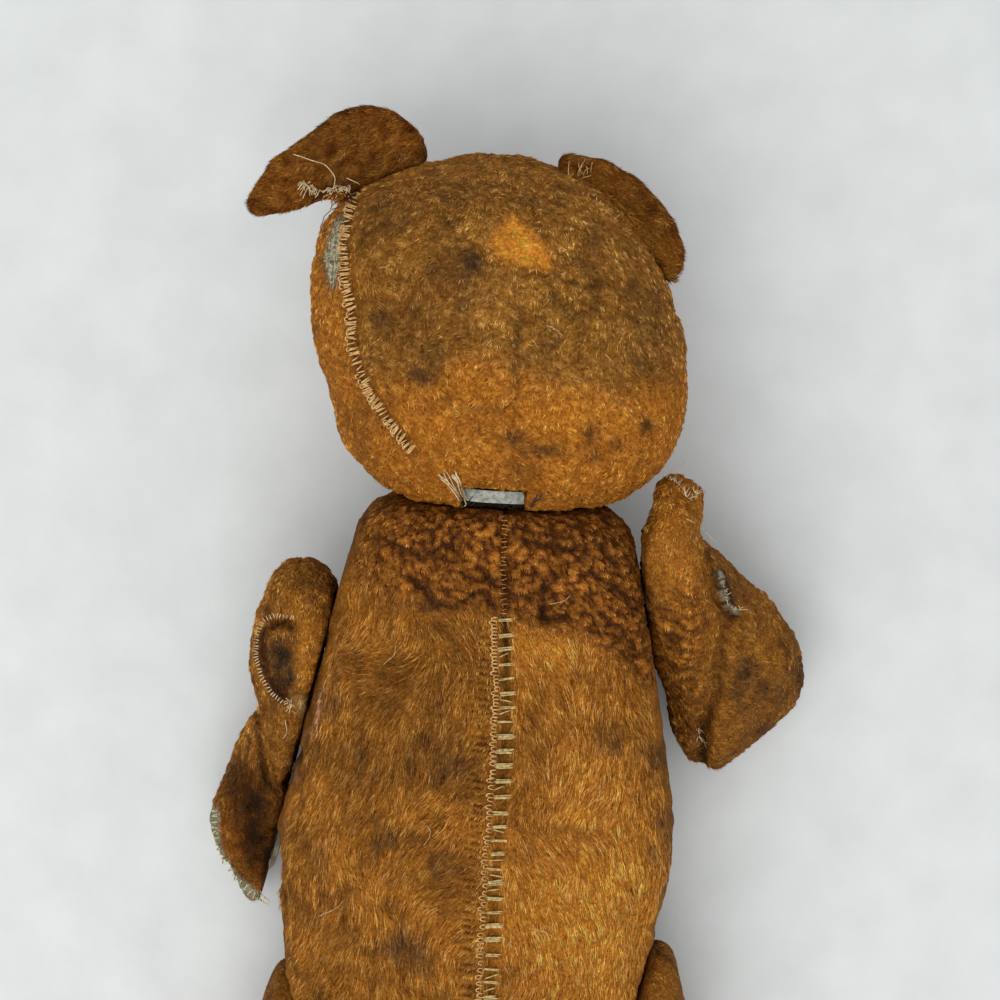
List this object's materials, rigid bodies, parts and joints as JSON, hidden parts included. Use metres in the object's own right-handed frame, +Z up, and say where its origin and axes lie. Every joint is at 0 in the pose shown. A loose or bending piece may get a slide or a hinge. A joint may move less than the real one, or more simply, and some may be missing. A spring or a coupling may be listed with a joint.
{
  "type": "teddy bear",
  "caption": "Old jointed plush bear lying face down, threadbare and mended with hand stitches, with disc joints at the neck, shoulders and hips.",
  "frame": {"origin": "centre of the bounding box, on the surface the bear lies on", "axes": "+Y towards the crown of the head, +X towards the bear's right side, +Z up out of its back"},
  "size_m": [0.2342, 0.5238, 0.1445],
  "materials": {
    "plush": "worn golden-brown mohair plush, matted and soiled",
    "faded_plush": "faded grey-brown plush, worn short over the back of the head",
    "felt": "pale wool felt, soiled",
    "wood_wool": "packed straw-coloured wood wool",
    "board": "grey pressed fibreboard",
    "steel": "dull mild steel",
    "eye": "polished black boot-button composition",
    "thread": "black-brown embroidery thread"
  },
  "bodies": {
    "torso": {"torso_cover_left": "plush", "torso_cover_right": "plush", "torso_stuffing": "wood_wool", "neck_torso_disc": "board", "neck_torso_washer": "steel", "shoulder_left_torso_disc": "board", "shoulder_left_torso_washer": "steel", "shoulder_right_torso_disc": "board", "shoulder_right_torso_washer": "steel", "hip_left_torso_disc": "board", "hip_left_torso_washer": "steel", "hip_right_torso_disc": "board", "hip_right_torso_washer": "steel"},
    "head": {"head_gusset": "faded_plush", "head_side_left": "plush", "head_side_right": "plush", "head_stuffing": "wood_wool", "ear_left": "plush", "ear_right": "plush", "eye_left": "eye", "eye_right": "eye", "nose_stitching": "thread", "mouth_stitching": "thread", "neck_head_disc": "board", "neck_head_washer": "steel", "neck_pin": "steel"},
    "arm_left": {"arm_left_outer": "plush", "arm_left_inner": "plush", "arm_left_stuffing": "wood_wool", "paw_pad_left": "felt", "shoulder_left_arm_disc": "board", "shoulder_left_arm_washer": "steel", "shoulder_left_pin": "steel"},
    "arm_right": {"arm_right_outer": "plush", "arm_right_inner": "plush", "arm_right_stuffing": "wood_wool", "paw_pad_right": "felt", "shoulder_right_arm_disc": "board", "shoulder_right_arm_washer": "steel", "shoulder_right_pin": "steel"},
    "leg_left": {"leg_left_outer": "plush", "leg_left_inner": "plush", "leg_left_stuffing": "wood_wool", "foot_pad_left": "felt", "hip_left_leg_disc": "board", "hip_left_leg_washer": "steel", "hip_left_pin": "steel"},
    "leg_right": {"leg_right_outer": "plush", "leg_right_inner": "plush", "leg_right_stuffing": "wood_wool", "foot_pad_right": "felt", "hip_right_leg_disc": "board", "hip_right_leg_washer": "steel", "hip_right_pin": "steel"}
  },
  "joints": [
    {"name": "neck_turn", "type": "hinge", "parent": "torso", "child": "head", "pos_m": [-0.008, 0.1177, 0.07777], "axis": [0, 0.9903, 0.1392], "continuous": true},
    {"name": "shoulder_left_swing", "type": "hinge", "parent": "torso", "child": "arm_left", "pos_m": [-0.0706, 0.06232, 0.07301], "axis": [-0.9781, 0.2059, 0.0289], "range_deg": [-100, 120]},
    {"name": "shoulder_right_swing", "type": "hinge", "parent": "torso", "child": "arm_right", "pos_m": [0.0503, 0.08212, 0.0758], "axis": [0.9781, 0.2059, 0.0289], "range_deg": [-120, 75]},
    {"name": "hip_left_swing", "type": "hinge", "parent": "torso", "child": "leg_left", "pos_m": [-0.0735, -0.08935, 0.04564], "axis": [-0.9659, -0.2563, -0.036], "range_deg": [-100, 90]},
    {"name": "hip_right_swing", "type": "hinge", "parent": "torso", "child": "leg_right", "pos_m": [0.0546, -0.07944, 0.04703], "axis": [0.9703, -0.2396, -0.0337], "range_deg": [-90, 100]}
  ]
}
